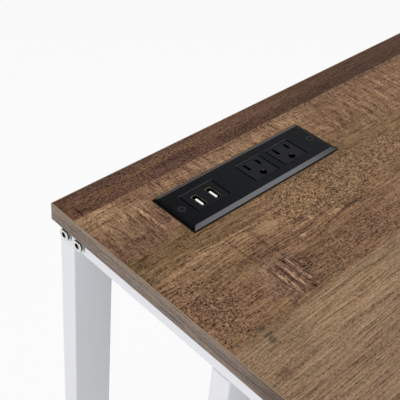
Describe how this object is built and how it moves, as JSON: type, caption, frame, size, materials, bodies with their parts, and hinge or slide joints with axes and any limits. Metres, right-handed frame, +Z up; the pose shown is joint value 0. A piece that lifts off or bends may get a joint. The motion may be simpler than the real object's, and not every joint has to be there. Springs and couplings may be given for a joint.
{
  "type": "writing desk",
  "caption": "Desk with a wood-grain top on two white flat-tube end frames, with levelling feet and a power and USB module let into the top near one rear corner.",
  "frame": {"origin": "on the floor under the middle of the desk", "axes": "+X to the user's right along the desk's width, +Y to the back, +Z up; the user sits at -Y"},
  "size_m": [1.2, 0.5, 0.752],
  "materials": {
    "wood_top": "satin wood-grain laminate in planks",
    "edge_band": "satin wood-grain edge band, grey brown",
    "frame_paint": "white powder coat, satin",
    "bright_steel": "bright nickel plated",
    "zinc_steel": "zinc plated",
    "black_steel": "black oxide",
    "module_plastic": "black plastic with a fine matte texture",
    "outlet_plastic": "black plastic, matte",
    "housing_plastic": "black plastic, matte",
    "contact_brass": "plain brass strip",
    "port_steel": "bright tinned steel",
    "port_white": "white plastic",
    "board_green": "green circuit board",
    "board_parts": "dark moulded electronic parts",
    "foot_plastic": "black plastic, matte"
  },
  "bodies": {
    "desk": {"desk_top": "wood_top", "edge_band_left": "edge_band", "edge_band_right": "edge_band", "edge_band_front": "edge_band", "edge_band_back": "edge_band", "left_top_rail": "frame_paint", "left_bottom_rail": "frame_paint", "left_rear_leg": "frame_paint", "left_front_leg": "frame_paint", "left_rear_bar": "frame_paint", "left_front_bar": "frame_paint", "right_top_rail": "frame_paint", "right_bottom_rail": "frame_paint", "right_rear_leg": "frame_paint", "right_front_leg": "frame_paint", "right_rear_bar": "frame_paint", "right_front_bar": "frame_paint", "back_beam": "frame_paint", "front_beam": "frame_paint", "beam_end_blocks": "zinc_steel", "frame_bolts": "bright_steel", "frame_washers": "bright_steel", "top_tabs": "frame_paint", "top_screws": "zinc_steel", "foot_inserts": "zinc_steel", "module_bezel": "module_plastic", "module_housing": "housing_plastic", "module_base": "housing_plastic", "base_screws": "zinc_steel", "bezel_screws": "black_steel", "outlet_a_face": "outlet_plastic", "outlet_b_face": "outlet_plastic", "contact_bases": "housing_plastic", "outlet_contacts": "contact_brass", "usb_face": "outlet_plastic", "usb_shells": "port_steel", "usb_tongues": "port_white", "usb_board": "board_green", "board_parts": "board_parts", "cord_gland": "housing_plastic"},
    "left_rear_foot": {"left_rear_foot_pad": "foot_plastic", "left_rear_foot_stud": "zinc_steel"},
    "left_front_foot": {"left_front_foot_pad": "foot_plastic", "left_front_foot_stud": "zinc_steel"},
    "right_rear_foot": {"right_rear_foot_pad": "foot_plastic", "right_rear_foot_stud": "zinc_steel"},
    "right_front_foot": {"right_front_foot_pad": "foot_plastic", "right_front_foot_stud": "zinc_steel"}
  },
  "joints": [
    {"name": "left_rear_foot_height", "type": "slide", "parent": "desk", "child": "left_rear_foot", "axis": [0, 0, -1], "range_m": [0, 0.006]},
    {"name": "left_front_foot_height", "type": "slide", "parent": "desk", "child": "left_front_foot", "axis": [0, 0, -1], "range_m": [0, 0.006]},
    {"name": "right_rear_foot_height", "type": "slide", "parent": "desk", "child": "right_rear_foot", "axis": [0, 0, -1], "range_m": [0, 0.006]},
    {"name": "right_front_foot_height", "type": "slide", "parent": "desk", "child": "right_front_foot", "axis": [0, 0, -1], "range_m": [0, 0.006]}
  ]
}
